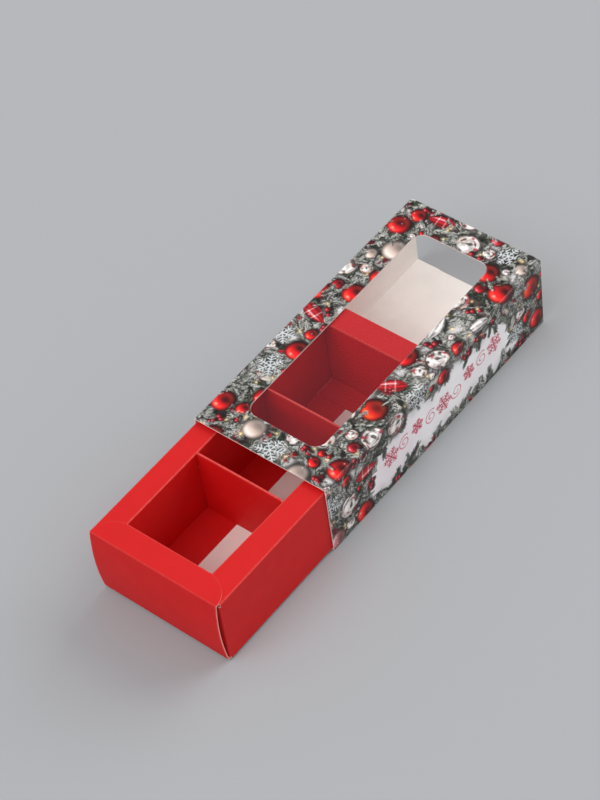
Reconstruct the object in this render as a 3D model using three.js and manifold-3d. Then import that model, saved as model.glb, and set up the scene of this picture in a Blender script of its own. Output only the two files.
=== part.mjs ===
// A drawer gift box: a red card tray with hollow walls, two dividers and three cells slides in a printed
// card sleeve, which is open at both ends and has a film window in its top.
// Each folded card blank is built panel by panel, from crease to crease.
// Millimetres, +Z up. The origin is the centre of the sleeve's underside. +X runs along the sleeve, and
// the tray is pulled out towards -X, its near end.
import * as THREE from 'three';
import { mergeVertices } from 'three/addons/utils/BufferGeometryUtils.js';
import Module from 'manifold-3d';

const wasm = await Module();
wasm.setup();

// Sheets
const board = 0.4; // thickness of the folding card
const film = 0.15; // thickness of the clear window film
const glueLine = 0.05; // glue between the film and the card above it

// Tray
const trayLength = 134.3; // base, over the creases of both ends
const trayWidth = 60; // over the outer faces of the side walls
const trayHeight = 32.8; // from under the base to the tops of the side rims
const sideRim = 9.6; // width of a hollow side wall, over its outer and inner sheets
const endRim = 9.9; // width of a hollow end wall at the base
const sideFlap = 14; // how far a side's floor flap reaches into the cells
const endFlap = 9.5; // how far an end's floor flap reaches into the cells
const sideFlapInset = 1.5; // a side's floor flap is cut back this far at both ends
const endLean = 0.6; // an end's top crease stands out this far past its bottom crease
const endBow = 1.35; // an end's outer panel swells this far at half height
const endRelief = 0.5; // an end's panels are this much narrower than the tray, at each side
const wallSetback = 0.2; // slack between a side wall's end and the end panel that covers it
const dustFlap = 24; // length of the flaps that fold in from the side walls, inside the hollow ends
const dustTrim = 1; // a dust flap is cut back this far above the base and below the rim
const cornerGap = 0.3; // slack between inner walls where they meet in a corner

// Dividers: strips folded double, with a tab at each end in a slit of the side's inner wall
const nearDividerPlace = 48.9; // from the tray's near crease to the divider's middle
const farDividerPlace = 87.2;
const dividerRise = 0.5; // a divider's fold stands this far above the side rims
const dividerGap = 0.3; // slack between a divider's end and the inner wall
const tabHeight = 16;
const tabReach = 4; // how far a tab stands into the hollow wall
const slitClearance = 0.3; // all round the tab

// Sleeve
const sleeveLength = 134;
const sideClearance = 0.3; // between the tray and the sleeve's side, on each side
const runningGap = 0.15; // under the tray
const headroom = 0.7; // between the tray's end rims and the film
const glueFlap = 12; // width of the flap that closes the tube, on the bottom panel

// Window in the sleeve's top
const windowNearMargin = 13.4; // card left at the sleeve's near end
const windowFarMargin = 13; // card left at its far end
const windowSideMargin = 13.5; // card left at each side
const windowCorner = 5; // corner radius
const filmOverlap = 5; // the film is larger than the window by this on each side

// Pose in the photograph
const pulledOut = 60; // from the sleeve's near edge to the tray's near crease

// Sizes that follow
const trayTop = trayHeight + board; // over the end rims, which lie on the side rims
const trayRaise = board + board + runningGap; // the tray runs on the glue flap
const sleeveWidth = trayWidth + (sideClearance + board) * 2;
const sleeveHeight = trayRaise + trayTop + headroom + film + glueLine + board;
const trayHalfWidth = trayWidth / 2;
const cellHalfWidth = trayHalfWidth - sideRim;
const wallEnd = board + wallSetback; // where a side wall starts, from the tray's end crease
const innerWallEnd = wallEnd + board + cornerGap;
const innerWallFoot = board + board; // an inner wall's bottom, on top of the base and one flap
const dividerTop = trayHeight + dividerRise;
const tabBottom = (innerWallFoot + dividerTop - tabHeight) / 2;
const bowSteps = 10; // straight steps of the bowed panel

const redCard = { color: 0xc92b29, roughness: 0.55, metalness: 0 };
const whiteCard = { color: 0xe6e0da, roughness: 0.8, metalness: 0 };
const printedCard = { color: 0x7c7f7a, roughness: 0.5, metalness: 0 };
const clearFilm = { color: 0xeef2f2, roughness: 0.1, metalness: 0, transparent: true, opacity: 0.3 };

function named(name, finish, geometry) {
  const mesh = new THREE.Mesh(geometry, new THREE.MeshStandardMaterial(finish));
  mesh.name = name;
  return mesh;
}

// A block square to the axes, from [low, high] along each.
function block(x, y, z) {
  const size = [x, y, z].map(([low, high]) => high - low);
  const middle = [x, y, z].map(([low, high]) => (low + high) / 2);
  return new THREE.BoxGeometry(...size).translate(...middle);
}

function panel(name, finish, x, y, z) {
  return named(name, finish, block(x, y, z));
}

function solidOf(geometry) {
  const bare = geometry.clone();
  bare.deleteAttribute('normal');
  bare.deleteAttribute('uv');
  const merged = mergeVertices(bare);
  const vertProperties = merged.attributes.position.array;
  const triVerts = new Uint32Array(merged.index.array);
  return new wasm.Manifold(new wasm.Mesh({ numProp: 3, vertProperties, triVerts }));
}

function cutAway(geometry, cutters) {
  const left = cutters.reduce((solid, cutter) => solid.subtract(solidOf(cutter)), solidOf(geometry));
  const { vertProperties, triVerts } = left.getMesh();
  const result = new THREE.BufferGeometry();
  result.setAttribute('position', new THREE.BufferAttribute(vertProperties, 3));
  result.setIndex(new THREE.BufferAttribute(triVerts, 1));
  result.computeVertexNormals();
  return result;
}

// A sheet cut to an outline and given its thickness along local +Z.
function cutSheet(name, finish, outline, thickness) {
  return named(name, finish, new THREE.ExtrudeGeometry(outline, { depth: thickness, bevelEnabled: false }));
}

function rectangle(path, x, y) {
  path.moveTo(x[0], y[0]);
  path.lineTo(x[1], y[0]);
  path.lineTo(x[1], y[1]);
  path.lineTo(x[0], y[1]);
  path.closePath();
  return path;
}

// A rectangle with a quarter circle at each corner, joined by straight edges.
function roundedRectangle(path, x, y, radius) {
  const quarter = Math.PI / 2;
  path.absarc(x[1] - radius, y[0] + radius, radius, -quarter, 0);
  path.absarc(x[1] - radius, y[1] - radius, radius, 0, quarter);
  path.absarc(x[0] + radius, y[1] - radius, radius, quarter, quarter * 2);
  path.absarc(x[0] + radius, y[0] + radius, radius, quarter * 2, quarter * 3);
  path.closePath();
  return path;
}

// Sleeve: top, bottom, two sides and the flap that glues the tube shut.
function sleeve() {
  const group = new THREE.Group();
  const x = [-sleeveLength / 2, sleeveLength / 2];
  const y = [-sleeveWidth / 2, sleeveWidth / 2];
  const sideZ = [board, sleeveHeight - board];
  const insideY = [y[0] + board, y[1] - board];
  const windowX = [x[0] + windowNearMargin, x[1] - windowFarMargin];
  const windowY = [y[0] + windowSideMargin, y[1] - windowSideMargin];

  const outline = rectangle(new THREE.Shape(), x, y);
  outline.holes.push(roundedRectangle(new THREE.Path(), windowX, windowY, windowCorner));
  const top = cutSheet('sleeve_top', printedCard, outline, board);
  top.position.z = sleeveHeight - board;

  const filmTop = sleeveHeight - board - glueLine;
  group.add(
    top,
    panel('sleeve_bottom', printedCard, x, y, [0, board]),
    panel('sleeve_left_side', printedCard, x, [insideY[1], y[1]], sideZ),
    panel('sleeve_right_side', printedCard, x, [y[0], insideY[0]], sideZ),
    panel('sleeve_glue_flap', whiteCard, x, [insideY[1] - glueFlap, insideY[1]], [board, board + board]),
    panel(
      'window_film',
      clearFilm,
      [windowX[0] - filmOverlap, windowX[1] + filmOverlap],
      [windowY[0] - filmOverlap, windowY[1] + filmOverlap],
      [filmTop - film, filmTop],
    ),
  );
  return group;
}

// A [low, high] pair across the tray, from two distances in from the outer face of one side.
function inFromSide(side, outer, inner) {
  return [side * (trayHalfWidth - outer), side * (trayHalfWidth - inner)].sort((a, b) => a - b);
}

// One hollow side wall: outer wall, rim, inner wall with the dividers' slits, and floor flap.
function traySide(name, side) {
  const group = new THREE.Group();
  const wallX = [wallEnd, trayLength - wallEnd];
  const innerX = [innerWallEnd, trayLength - innerWallEnd];
  const flapX = [endRim + sideFlapInset, trayLength - endRim - sideFlapInset];
  const underRim = trayHeight - board;

  const slitY = inFromSide(side, sideRim - board * 2, sideRim + board);
  const slitZ = [tabBottom - slitClearance, tabBottom + tabHeight + slitClearance];
  const slits = [nearDividerPlace, farDividerPlace].map((place) =>
    block([place - board - slitClearance, place + board + slitClearance], slitY, slitZ),
  );
  const inner = block(innerX, inFromSide(side, sideRim - board, sideRim), [board, underRim]);

  group.add(
    panel(`tray_${name}_wall`, redCard, wallX, inFromSide(side, 0, board), [board, underRim]),
    panel(`tray_${name}_rim`, redCard, wallX, inFromSide(side, 0, sideRim), [underRim, trayHeight]),
    named(`tray_${name}_inner_wall`, redCard, cutAway(inner, slits)),
    panel(`tray_${name}_floor_flap`, redCard, flapX, inFromSide(side, sideRim, sideRim + sideFlap), [
      board,
      innerWallFoot,
    ]),
  );
  return group;
}

// The outer face of an end panel bows out between its creases: a straight lean plus a parabola.
function bowOut(heightShare) {
  return -(endLean * heightShare + endBow * 4 * heightShare * (1 - heightShare));
}

// One hollow end wall, in a frame whose x runs into the tray from the end's bottom crease: bowed outer
// panel, rim that lies on the side rims with quarter-round ends, inner wall and floor flap.
function trayEnd(name) {
  const group = new THREE.Group();
  const halfWidth = trayHalfWidth - endRelief;
  const innerHalfWidth = cellHalfWidth - cornerGap;

  const shares = Array.from({ length: bowSteps + 1 }, (_, step) => step / bowSteps);
  const outerFace = shares.map((share) => new THREE.Vector2(bowOut(share), share * trayHeight));
  const innerFace = outerFace.map((point) => new THREE.Vector2(point.x + board, point.y)).reverse();
  const outer = cutSheet(`tray_${name}_end`, redCard, new THREE.Shape([...outerFace, ...innerFace]), halfWidth * 2);
  outer.rotation.x = Math.PI / 2;
  outer.position.y = halfWidth;

  const round = endRim + endLean;
  const outline = new THREE.Shape();
  outline.moveTo(-endLean, -halfWidth);
  outline.absarc(-endLean, -halfWidth + round, round, -Math.PI / 2, 0);
  outline.absarc(-endLean, halfWidth - round, round, 0, Math.PI / 2);
  outline.closePath();
  const rim = cutSheet(`tray_${name}_rim`, redCard, outline, board);
  rim.position.z = trayHeight;

  const innerY = [-innerHalfWidth, innerHalfWidth];
  group.add(
    outer,
    rim,
    panel(`tray_${name}_inner_wall`, redCard, [endRim - board, endRim], innerY, [innerWallFoot, trayHeight]),
    panel(`tray_${name}_floor_flap`, redCard, [endRim, endRim + endFlap], innerY, [
      innerWallFoot,
      innerWallFoot + board,
    ]),
  );
  return group;
}

// A flap that folds in from the end of a side wall and lies inside the hollow end.
function trayDustFlap(name, side, end) {
  const x = end < 0 ? [wallEnd, wallEnd + board] : [trayLength - wallEnd - board, trayLength - wallEnd];
  const z = [board + dustTrim, trayHeight - board - dustTrim];
  return panel(name, redCard, x, inFromSide(side, board, board + dustFlap), z);
}

// A strip folded double across the tray, on the floor flaps, with a tab at each end.
function divider(name, place) {
  const halfWidth = cellHalfWidth - dividerGap;
  const tabEnd = cellHalfWidth + board + tabReach;
  const tabTop = tabBottom + tabHeight;
  const outline = new THREE.Shape();
  outline.moveTo(-halfWidth, innerWallFoot);
  outline.lineTo(halfWidth, innerWallFoot);
  outline.lineTo(halfWidth, tabBottom);
  outline.lineTo(tabEnd, tabBottom);
  outline.lineTo(tabEnd, tabTop);
  outline.lineTo(halfWidth, tabTop);
  outline.lineTo(halfWidth, dividerTop);
  outline.lineTo(-halfWidth, dividerTop);
  outline.lineTo(-halfWidth, tabTop);
  outline.lineTo(-tabEnd, tabTop);
  outline.lineTo(-tabEnd, tabBottom);
  outline.lineTo(-halfWidth, tabBottom);
  outline.closePath();
  const mesh = cutSheet(name, redCard, outline, board * 2);
  // The outline is drawn across and up the tray, so local X, Y and Z become Y, Z and X.
  mesh.quaternion.set(0.5, 0.5, 0.5, 0.5);
  mesh.position.x = place - board;
  return mesh;
}

// Tray, in a frame whose x runs from the near end's crease and whose z starts under the base.
function tray() {
  const group = new THREE.Group();
  group.add(panel('tray_base', whiteCard, [board, trayLength - board], [-trayHalfWidth, trayHalfWidth], [0, board]));
  group.add(traySide('left', 1), traySide('right', -1));

  const farEnd = trayEnd('far');
  farEnd.rotation.z = Math.PI;
  farEnd.position.x = trayLength;
  group.add(trayEnd('near'), farEnd);

  for (const [endName, end] of [['near', -1], ['far', 1]]) {
    for (const [sideName, side] of [['left', 1], ['right', -1]]) {
      group.add(trayDustFlap(`tray_${endName}_${sideName}_dust_flap`, side, end));
    }
  }
  group.add(divider('near_divider', nearDividerPlace), divider('far_divider', farDividerPlace));
  group.position.set(-sleeveLength / 2 - pulledOut, 0, trayRaise);
  return group;
}

const giftBox = new THREE.Group();
giftBox.add(sleeve(), tray());

export default giftBox;
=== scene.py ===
# %% [markdown]
# # A drawer gift box, folded from printed card
#
# The box is three things made of folding card: a printed sleeve with a window, a red tray that slides in
# it, and two dividers in the tray. The card is 0.4 mm thick, so nearly everything that the eye reads as
# detail is in how it is cut and folded: rounded creases, pale cut edges, ends that bulge a little, and the
# print.
#
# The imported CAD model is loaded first. It fixes every size and place here, and it is what the physics
# engine uses. Each of its nodes is one flat panel between two creases. Here each panel gets its own piece
# with the same place, its half of the neighbouring creases, and a finish.

import math

import bpy
import numpy as np
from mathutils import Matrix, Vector


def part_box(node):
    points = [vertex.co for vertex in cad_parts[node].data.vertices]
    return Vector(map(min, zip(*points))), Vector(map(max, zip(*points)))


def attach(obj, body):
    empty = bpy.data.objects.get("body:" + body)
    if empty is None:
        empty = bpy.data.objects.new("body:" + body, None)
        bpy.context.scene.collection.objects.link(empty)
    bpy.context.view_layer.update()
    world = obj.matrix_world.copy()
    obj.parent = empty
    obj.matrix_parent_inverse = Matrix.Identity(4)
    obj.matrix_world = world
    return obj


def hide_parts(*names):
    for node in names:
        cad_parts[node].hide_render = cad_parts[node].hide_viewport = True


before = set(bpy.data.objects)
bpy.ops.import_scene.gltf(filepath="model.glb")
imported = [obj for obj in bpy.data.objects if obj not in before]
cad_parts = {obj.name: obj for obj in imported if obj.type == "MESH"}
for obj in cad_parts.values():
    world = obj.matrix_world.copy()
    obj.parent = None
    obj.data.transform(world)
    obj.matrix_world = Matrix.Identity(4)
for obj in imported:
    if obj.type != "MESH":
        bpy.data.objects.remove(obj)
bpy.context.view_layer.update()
MM = 0.001  # the shapes below are worked out in millimetres


def span(node):
    """Lowest and highest corner of a CAD node, in millimetres."""
    low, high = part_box(node)
    return np.array(low) / MM, np.array(high) / MM


sleeve_low, sleeve_high = span("sleeve_bottom")
BOARD = sleeve_high[2] - sleeve_low[2]
print(f"{len(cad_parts)} CAD nodes, card {BOARD:.2f} mm thick")

# %% [markdown]
# ## Camera
#
# The camera stands where the photograph was taken from: about 1 m away, near the tray's right corner,
# looking down at about 49 degrees. Its place and turn were solved from 29 straight edges of the box.

# %% Camera
PHOTO_HEIGHT = 800
FOCAL_DOTS = 2573.55  # focal length, in dots of the photograph
SENSOR = 36.0
CAMERA_PLACE = (-0.47236, -0.43451, 0.75326)
CAMERA_TURN = (40.284505, 5.989481, -51.763374)  # degrees round x, y and z

camera_data = bpy.data.cameras.new("camera")
camera_data.sensor_width = SENSOR
camera_data.lens = FOCAL_DOTS / PHOTO_HEIGHT * SENSOR
camera_data.clip_start = 0.05
camera_data.clip_end = 20.0
camera = bpy.data.objects.new("camera", camera_data)
camera.location = CAMERA_PLACE
camera.rotation_euler = [math.radians(angle) for angle in CAMERA_TURN]
bpy.context.scene.collection.objects.link(camera)
bpy.context.scene.camera = camera
bpy.context.scene.view_settings.view_transform = "Standard"
print(f"camera with a {camera_data.lens:.1f} mm lens")

# %% [markdown]
# ## Node helpers
#
# Every finish below is a small network of shader nodes. A few helpers keep them readable: one adds a node
# with its inputs already set or linked, some add the kinds of node that come most often, and one starts an
# empty node group with named sockets.


# %% Node helpers
def fill_sockets(tree, node, values):
    """Sets a node's inputs to values, or links them where the value is itself a socket."""
    for key, value in values.items():
        if isinstance(value, bpy.types.NodeSocket):
            tree.links.new(value, node.inputs[key])
        else:
            node.inputs[key].default_value = value


def add_node(tree, kind, inputs=None, **settings):
    """Adds a node. settings are its properties, and inputs are the values of its sockets."""
    made = tree.nodes.new(kind)
    for key, value in settings.items():
        setattr(made, key, value)
    fill_sockets(tree, made, inputs or {})
    return made


def reckon(tree, operation, first, second):
    """A Math node's result."""
    return add_node(tree, "ShaderNodeMath", {0: first, 1: second}, operation=operation).outputs[0]


def ramp(tree, value, *limits):
    """A Map Range node's result. limits are the two that value runs between, then the two of the result."""
    return add_node(tree, "ShaderNodeMapRange", {0: value, **dict(enumerate(limits, 1))}).outputs[0]


def noise(tree, place, scale, detail):
    """A noise texture's value at a place."""
    inputs = {"Vector": place, "Scale": scale, "Detail": detail}
    return add_node(tree, "ShaderNodeTexNoise", inputs).outputs["Fac"]


def object_place(tree):
    """A surface point's place in the object's own axes, in metres."""
    return add_node(tree, "ShaderNodeTexCoord").outputs["Object"]


def start_group(name, inputs, outputs):
    """A node group whose sockets are plain numbers. inputs is {name: first value}, and outputs are names."""
    group = bpy.data.node_groups.new(name, "ShaderNodeTree")
    for key, value in inputs.items():
        socket = group.interface.new_socket(key, in_out="INPUT", socket_type="NodeSocketFloat")
        socket.default_value = value
    for key in outputs:
        group.interface.new_socket(key, in_out="OUTPUT", socket_type="NodeSocketFloat")
    return group, group.nodes.new("NodeGroupInput"), group.nodes.new("NodeGroupOutput")


def use_group(tree, group, **inputs):
    """Places a node group in a material. An underscore in an input's name stands for a space."""
    values = {key.replace("_", " "): value for key, value in inputs.items()}
    return add_node(tree, "ShaderNodeGroup", values, node_tree=group)


def uncurved(shown):
    """Undoes the screen's curve: a straight line in the darkest tones, and above them a power of 2.4."""
    return np.where(shown <= 0.04045, shown / 12.92, ((shown + 0.055) / 1.055) ** 2.4)


def linear(red, green, blue):
    """A colour written as 0 to 255, as the shader wants it."""
    return (*uncurved(np.array([red, green, blue]) / 255).tolist(), 1.0)


print("node helpers ready")

# %% [markdown]
# ## Effects that several finishes share
#
# Card is pressed wood fibre. Its surface has a fine grain, and the ink over it is never quite even. Where
# it is folded, the coating stretches and shows a paler line, which is broken where the fibres held. That
# line is also a painted highlight, where light would catch the round of a crease or a cut edge. These are
# two groups: one gives the grain and the unevenness of the ink, the other turns the crease and cut marks
# that each piece carries on its vertices into a broken mask of wear and painted highlight.


# %% Card grain group
def card_grain_group():
    """Height is a fine even noise plus a drawn-out one for the fibres. Tone is a slow noise about 1, and
    Fleck picks out the thickest fibres."""
    group, given, result = start_group("card grain", {"Unevenness": 0.05}, ("Height", "Tone", "Fleck"))
    place = object_place(group)
    stretch = {"Vector": place, "Rotation": (0.4, 0.7, 0.5), "Scale": (1400, 3400, 2400)}
    drawn_out = add_node(group, "ShaderNodeMapping", stretch).outputs[0]
    fibres = noise(group, drawn_out, 1.0, 2.0)
    unevenness = given.outputs["Unevenness"]
    least, most = (reckon(group, way, 1.0, unevenness) for way in ("SUBTRACT", "ADD"))
    results = {
        "Height": reckon(group, "ADD", noise(group, place, 3600.0, 3.0), fibres),
        "Tone": ramp(group, noise(group, place, 130.0, 4.0), 0.3, 0.7, least, most),
        "Fleck": ramp(group, fibres, 0.6, 0.75),
    }
    fill_sockets(group, result, results)
    return group


card_grain = card_grain_group()
print(f"{card_grain.name}: {len(card_grain.nodes)} nodes")


# %% Wear and painted highlight group
def make_shine_and_wear_group():
    """Mask is the larger of the piece's crease and cut marks, each times its share, broken by a noise. It
    pales the card for wear and as a painted highlight along creases and cut edges.
    """
    inputs = {"Crease share": 0.5, "Cut share": 0.3, "Break": 0.5}
    group, given, result = start_group("shine and wear", inputs, ("Mask",))
    marks = []
    for mark, share in (("crease", "Crease share"), ("cut", "Cut share")):
        stored = add_node(group, "ShaderNodeAttribute", attribute_name=mark).outputs["Fac"]
        marks.append(reckon(group, "MULTIPLY", stored, given.outputs[share]))
    kept = ramp(group, noise(group, object_place(group), 900.0, 3.0), 0.4, 0.6)
    whole = reckon(group, "SUBTRACT", 1.0, reckon(group, "MULTIPLY", kept, given.outputs["Break"]))
    fill_sockets(group, result, {"Mask": reckon(group, "MULTIPLY", reckon(group, "MAXIMUM", *marks), whole)})
    return group


fold_wear = make_shine_and_wear_group()
print(f"{fold_wear.name}: {len(fold_wear.nodes)} nodes")

# %% [markdown]
# ## Finishes
#
# Four finishes of card: the satin red of the tray, the print of the sleeve, the bare white back, and the
# cut edge, which is white board with a little of the ink dragged over it. Each colour is written as it
# looks in plain light.


# %% Material helpers
def start_material(name, roughness, specular):
    """A material with its Principled BSDF, whose constants are set on its own sockets."""
    made = bpy.data.materials.new(name)
    made.use_nodes = True
    shader = made.node_tree.nodes["Principled BSDF"]
    shader.inputs["Roughness"].default_value = roughness
    shader.inputs["Specular IOR Level"].default_value = specular
    return made, made.node_tree, shader


def grain_bump(tree, shader, height, distance):
    """Raises the grain by distance, in metres."""
    bump = add_node(tree, "ShaderNodeBump", {"Height": height, "Distance": distance, "Strength": 1.0})
    fill_sockets(tree, shader, {"Normal": bump.outputs["Normal"]})


def mix_colours(tree, share, under, over, blend="MIX"):
    """A Mix node's colour. 6 and 7 are the sockets of its two colours, and 2 is that of its result."""
    inputs = {"Factor": share, 6: under, 7: over}
    return add_node(tree, "ShaderNodeMix", inputs, data_type="RGBA", blend_type=blend).outputs[2]


print("material helpers ready")


# %% Finishes of card
def card_material(name, colour, pale_line_colour, roughness, specular, creases, cuts, grain_depth, unevenness):
    """Inked card: the ink's colour made uneven, paler in creases and along cuts for wear and a painted
    highlight, with the card's grain.
    """
    made, tree, shader = start_material(name, roughness, specular)
    grain = use_group(tree, card_grain, Unevenness=unevenness)
    # the crease and cut shares set how strongly wear and a painted highlight pale the creases and cut edges
    wear_and_shine = use_group(tree, fold_wear, Crease_share=creases, Cut_share=cuts, Break=0.45)
    if colour is None:
        colour = add_node(tree, "ShaderNodeAttribute", attribute_name="print").outputs["Color"]
    tone = grain.outputs["Tone"]
    inked = mix_colours(tree, 1.0, colour, tone, "MULTIPLY")
    seen = mix_colours(tree, wear_and_shine.outputs["Mask"], inked, pale_line_colour)
    dull = ramp(tree, tone, 0.9, 1.1, roughness + 0.06, roughness - 0.06)
    fill_sockets(tree, shader, {"Base Color": seen, "Roughness": dull})
    grain_bump(tree, shader, grain.outputs["Height"], grain_depth)
    return made


def bare_card_material(name, colour, fleck_colour, roughness):
    """Bare board: matt, with scattered fibres of another tone."""
    made, tree, shader = start_material(name, roughness, 0.2)
    grain = use_group(tree, card_grain, Unevenness=0.025)
    flecked = mix_colours(tree, grain.outputs["Fleck"], colour, fleck_colour)
    seen = mix_colours(tree, 1.0, flecked, grain.outputs["Tone"], "MULTIPLY")
    fill_sockets(tree, shader, {"Base Color": seen})
    grain_bump(tree, shader, grain.outputs["Height"], 0.000012)
    return made


red_card = card_material(
    "red card",
    colour=linear(209, 3, 6),
    pale_line_colour=linear(242, 112, 102),
    roughness=0.62,
    specular=0.38,
    # creases and cuts: how much wear and painted highlight pale the red card's creases and cut edges
    creases=0.6,
    cuts=0.75,
    grain_depth=0.000008,
    unevenness=0.03,
)
printed_card = card_material(
    "printed card",
    colour=None,
    pale_line_colour=linear(226, 222, 220),
    roughness=0.42,
    specular=0.3,
    # creases and cuts: how much wear and painted highlight pale the print's creases and cut edges
    creases=0.08,
    cuts=0.2,
    grain_depth=0.000006,
    unevenness=0.015,
)
white_back = bare_card_material("white back", linear(252, 247, 241), linear(244, 235, 228), 0.8)
cut_edge_red, cut_edge_white = (
    bare_card_material(f"cut edge of {card} card", board, fibre, 0.75)
    for card, board, fibre in (
        ("red", linear(250, 168, 158), linear(236, 122, 112)),
        ("printed", linear(240, 226, 222), linear(222, 196, 190)),
    )
)
RED_FINISHES = [red_card, cut_edge_red, white_back]
PRINT_FINISHES = [printed_card, cut_edge_white, white_back]
FACE, CUT, BACK = 0, 1, 2  # where each finish stands in those lists
print("finishes of card:", [material.name for material in (*RED_FINISHES, printed_card, cut_edge_white)])

# %% [markdown]
# ## Folded card as a grid
#
# Every panel is made the same way. Its cross-section is a line through the middle of the card, with a small
# arc at each crease. Moving that line out by half the thickness on both sides gives a closed loop, and
# carrying the loop along the panel gives the solid. Rows stand close together beside creases and cuts,
# because the paler line there, wear with a painted highlight, is stored on the vertices.

# %% Middle line of a folded card
CREASE_RADIUS = 0.35  # of the card's middle line
CREASE_STEPS = 6
# the pale line of a crease or a cut is wear with a painted highlight
PALE_LINE_WIDTH = 0.22  # how far the pale line of a crease reaches
CUT_WIDTH = 0.26  # and that of a cut


def rows_between(length, gap=4.0):
    """Places along a flat stretch: 0, 0.2, 0.5 and 1 mm in from both ends, and about gap apart between."""
    if length < 3.0:
        return np.linspace(0, length, 5)
    close = np.array([0.0, 0.2, 0.5, 1.0])
    between = np.linspace(1.0, length - 1.0, max(2, int(round(length / gap)) + 1))
    return np.unique(np.round(np.concatenate([close, between, length - close]), 6))


def unit(vectors):
    """Vectors at length 1, along the last axis."""
    return vectors / np.linalg.norm(vectors, axis=-1, keepdims=True)


def crease_arc(start, before, turn):
    """An arc that starts towards before and turns by that angle. Each place is the spoke from the arc's
    middle to its start, turned by a share of the angle."""
    middle = start + np.array([-before[1], before[0]]) * np.sign(turn) * CREASE_RADIUS
    angles = turn * np.linspace(0, 1, CREASE_STEPS + 1)
    cosine, sine = np.cos(angles), np.sin(angles)
    spoke = start - middle
    return middle + np.stack([cosine * spoke[0] - sine * spoke[1], sine * spoke[0] + cosine * spoke[1]], 1)


def middle_line(points, creases, gap=4.0):
    """The line through points, with an arc at each crease. creases is {index into points: wear}. An arc
    starts and ends where it touches both stretches, a distance radius * tan(half the turn) from the corner.
    Returns places (n, 2), normals to the left of travel (n, 2) and the crease marks (n)."""
    points = np.asarray(points, float)
    lines, arcs = [], []
    start = points[0]
    for index in range(1, len(points)):
        stop = points[index]
        if index in creases:
            before, after = unit(stop - points[index - 1]), unit(points[index + 1] - stop)
            turn = math.atan2(before[0] * after[1] - before[1] * after[0], before @ after)
            stop = stop - before * (CREASE_RADIUS * math.tan(abs(turn) / 2))
        length = np.linalg.norm(stop - start)
        if length > 1e-6:
            shares = np.array([0, 1.0])
            if length > 1.2 * gap or len(points) < 6:
                shares = rows_between(length, gap) / length
            lines.append(start + (stop - start) * shares[:, None])
        start = stop
        if index in creases:
            arc = crease_arc(stop, before, turn)
            lines.append(arc)
            arcs.append((arc[CREASE_STEPS // 2], creases[index]))
            start = arc[-1]
    places = np.concatenate(lines)
    keep = np.concatenate([[True], np.linalg.norm(np.diff(places, axis=0), axis=1) > 1e-5])
    places = places[keep]
    ahead = unit(np.diff(places, axis=0))
    tangents = unit(np.concatenate([ahead[:1], ahead[:-1] + ahead[1:], ahead[-1:]]))
    normals = np.stack([-tangents[:, 1], tangents[:, 0]], 1)
    marks = np.zeros(len(places))
    for middle, wear in arcs:
        away = np.linalg.norm(places - middle, axis=1) / PALE_LINE_WIDTH
        marks = np.maximum(marks, wear * np.exp(-(away**2)))
    return places, normals, marks


def stations_between(low, high, gap=5.0):
    """Places along the sweep, close together at both ends."""
    return low + rows_between(high - low, gap)


test_line, _, test_marks = middle_line([(0, 0), (10, 0), (10, 10)], {1: 1.0})
palest = test_line[test_marks.argmax()].round(2)
print(f"a test fold has {len(test_line)} places, and it is palest at {palest}")

# %% [markdown]
# ## From grid to mesh
#
# The mesh is filled from whole arrays. Four neighbouring grid points make a face, and the two open ends are
# closed with one flat face each. The sign of the solid's volume tells whether its faces look outwards, and
# if it is negative every face is turned over. A slit in a panel leaves out some faces and joins both sides
# of the card round the hole.


# %% Grid to mesh
def grid_faces(corners, closed):
    """Quads between neighbouring grid points: station i, point j round the section, and the next of each."""
    nearer = corners if closed else corners[:-1]
    farther = np.roll(corners, -1, axis=0) if closed else corners[1:]
    return np.stack([nearer, np.roll(nearer, -1, axis=1), np.roll(farther, -1, axis=1), farther], -1)


def slit_rim(corners, slit):
    """The quads that join both sides of the card round a slit. slit is (first and last station, first and
    last row). The back of row j is the point that stands as far from the loop's end as j stands from its
    start."""
    first, last, low, high = slit
    around = [(first, row) for row in range(low, high)]
    around += [(station, high) for station in range(first, last)]
    around += [(last, row) for row in range(high, low, -1)]
    around += [(station, low) for station in range(last, first, -1)]
    stations, rows = np.array(around).T
    front = corners[stations, rows]
    back = corners[stations, corners.shape[1] - 1 - rows]
    return np.stack([front, np.roll(front, -1), np.roll(back, -1), back], -1)


def fill_mesh(mesh, points, faces, finishes):
    """Puts points and faces into a mesh. faces is a list of arrays of vertex numbers, each (count,
    corners)."""
    volume = 0.0
    for block in faces:
        fan = points[block[:, 0]]
        for k in range(1, block.shape[1] - 1):
            volume += np.einsum("ij,ij->", fan, np.cross(points[block[:, k]], points[block[:, k + 1]]))
    if volume < 0:
        faces = [block[:, ::-1] for block in faces]
    corners = np.concatenate([block.ravel() for block in faces])
    sizes = np.concatenate([np.full(len(block), block.shape[1]) for block in faces])
    mesh.vertices.add(len(points))
    mesh.vertices.foreach_set("co", (points * MM).astype(np.float32).ravel())
    mesh.loops.add(len(corners))
    mesh.loops.foreach_set("vertex_index", corners.astype(np.int32))
    mesh.polygons.add(len(sizes))
    mesh.polygons.foreach_set("loop_start", (np.cumsum(sizes) - sizes).astype(np.int32))
    mesh.polygons.foreach_set("material_index", np.concatenate(finishes).astype(np.int32))
    mesh.polygons.foreach_set("use_smooth", np.ones(len(sizes), bool))
    mesh.update(calc_edges=True)
    mesh.validate()
    mesh.set_sharp_from_angle(angle=math.radians(35))
    return abs(volume) / 6


print("mesh filler ready")

# %% [markdown]
# ### From mesh to piece
#
# A piece may have several grids, as a divider has its two tabs beside the strip. Its marks and its print
# are stored on the vertices. Each piece stands for one node of the CAD model and rides on that node's body.
# The tray's right wall was folded a little loose, so every grid of the tray is leant in there.

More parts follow.
